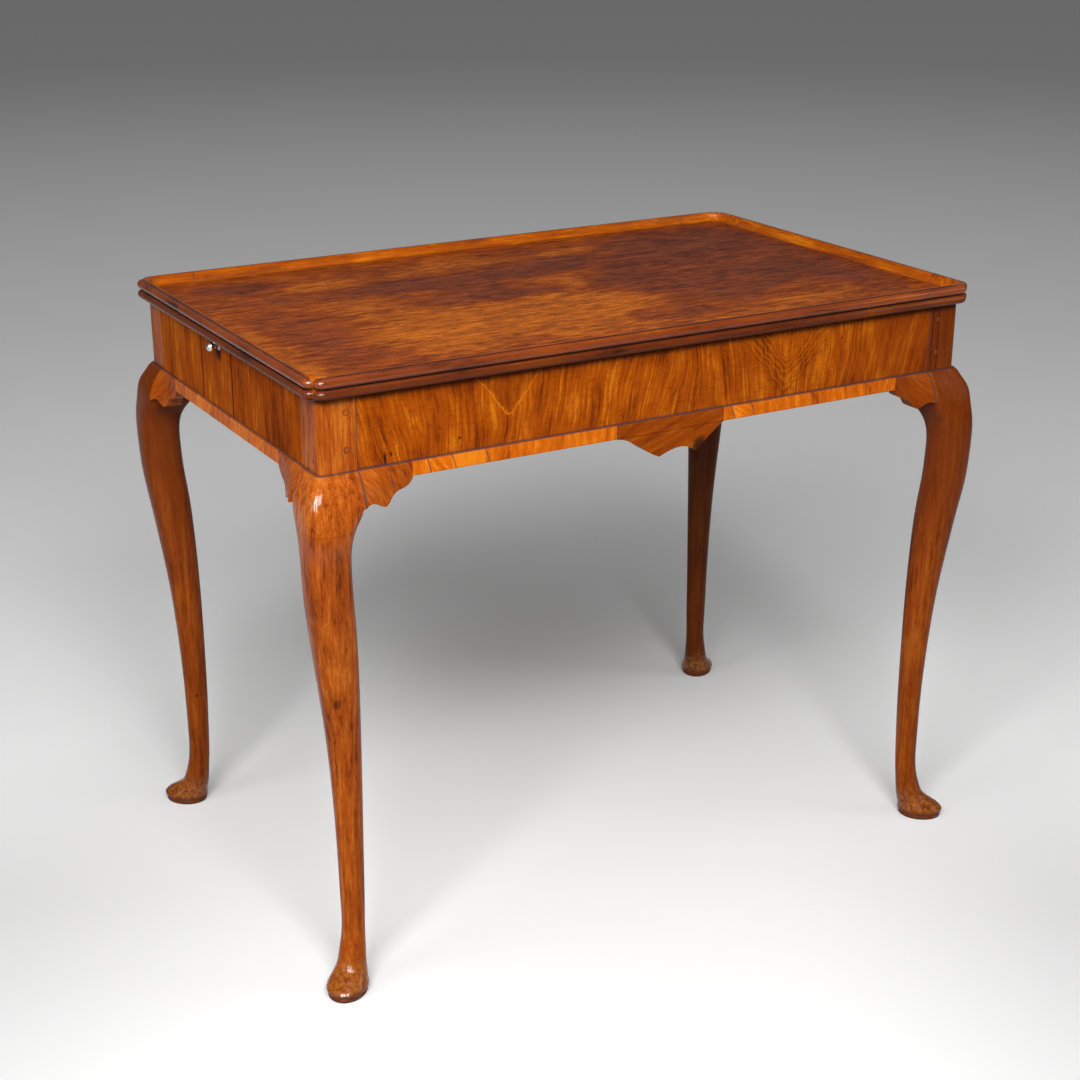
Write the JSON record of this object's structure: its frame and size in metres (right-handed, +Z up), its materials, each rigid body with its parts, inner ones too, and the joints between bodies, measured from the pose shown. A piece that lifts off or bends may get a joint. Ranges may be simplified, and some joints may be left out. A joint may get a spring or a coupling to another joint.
{
  "type": "tray top tea table",
  "caption": "Tea table with a moulded tray rim on cusped corners, veneered apron with shaped drops, cabriole legs on pad feet and a candle slide at each end.",
  "frame": {"origin": "on the floor, under the middle of the table", "axes": "+X along the length to the right, +Y across the width to the back, +Z up"},
  "size_m": [0.8814, 0.5728, 0.71],
  "materials": {
    "tray_field": "polished, stained and worn",
    "rim_wood": "polished, worn at the edges",
    "leg_wood": "polished",
    "apron_veneer": "polished, grain upright",
    "banding_wood": "polished, cross-grained",
    "drop_wood": "polished",
    "bracket_wood": "polished",
    "peg_oak": "waxed end grain",
    "slide_wood": "waxed",
    "carcase_pine": "bare",
    "knob_brass": "aged, polished by use"
  },
  "bodies": {
    "table": {"banding_back_left": "banding_wood", "banding_back_right": "banding_wood", "banding_front_left": "banding_wood", "banding_front_right": "banding_wood", "banding_left": "banding_wood", "banding_right": "banding_wood", "bracket_back_left_end": "bracket_wood", "bracket_back_left_long": "bracket_wood", "bracket_back_right_end": "bracket_wood", "bracket_back_right_long": "bracket_wood", "bracket_front_left_end": "bracket_wood", "bracket_front_left_long": "bracket_wood", "bracket_front_right_end": "bracket_wood", "bracket_front_right_long": "bracket_wood", "drop_back": "drop_wood", "drop_front": "drop_wood", "glue_blocks": "carcase_pine", "leg_back_left": "leg_wood", "leg_back_right": "leg_wood", "leg_front_left": "leg_wood", "leg_front_right": "leg_wood", "rail_back": "carcase_pine", "rail_front": "carcase_pine", "rail_left": "carcase_pine", "rail_right": "carcase_pine", "rim_back": "rim_wood", "rim_corner_back_left": "rim_wood", "rim_corner_back_right": "rim_wood", "rim_corner_front_left": "rim_wood", "rim_corner_front_right": "rim_wood", "rim_front": "rim_wood", "rim_left": "rim_wood", "rim_right": "rim_wood", "slide_runner_back_left": "carcase_pine", "slide_runner_back_right": "carcase_pine", "slide_runner_front_left": "carcase_pine", "slide_runner_front_right": "carcase_pine", "slide_stop_left": "carcase_pine", "slide_stop_right": "carcase_pine", "tenon_pegs": "peg_oak", "tray_board_back": "tray_field", "tray_board_front": "tray_field", "veneer_back": "apron_veneer", "veneer_front": "apron_veneer", "veneer_left": "apron_veneer", "veneer_right": "apron_veneer"},
    "candle_slide_left": {"slide_board_left": "slide_wood", "slide_cleat_left": "carcase_pine", "slide_knob_left": "knob_brass", "slide_lip_left": "apron_veneer"},
    "candle_slide_right": {"slide_board_right": "slide_wood", "slide_cleat_right": "carcase_pine", "slide_knob_right": "knob_brass", "slide_lip_right": "apron_veneer"}
  },
  "joints": [
    {"name": "candle_slide_left_travel", "type": "slide", "parent": "table", "child": "candle_slide_left", "axis": [-1, 0, 0], "range_m": [0, 0.182]},
    {"name": "candle_slide_right_travel", "type": "slide", "parent": "table", "child": "candle_slide_right", "axis": [1, 0, 0], "range_m": [0, 0.182]}
  ]
}
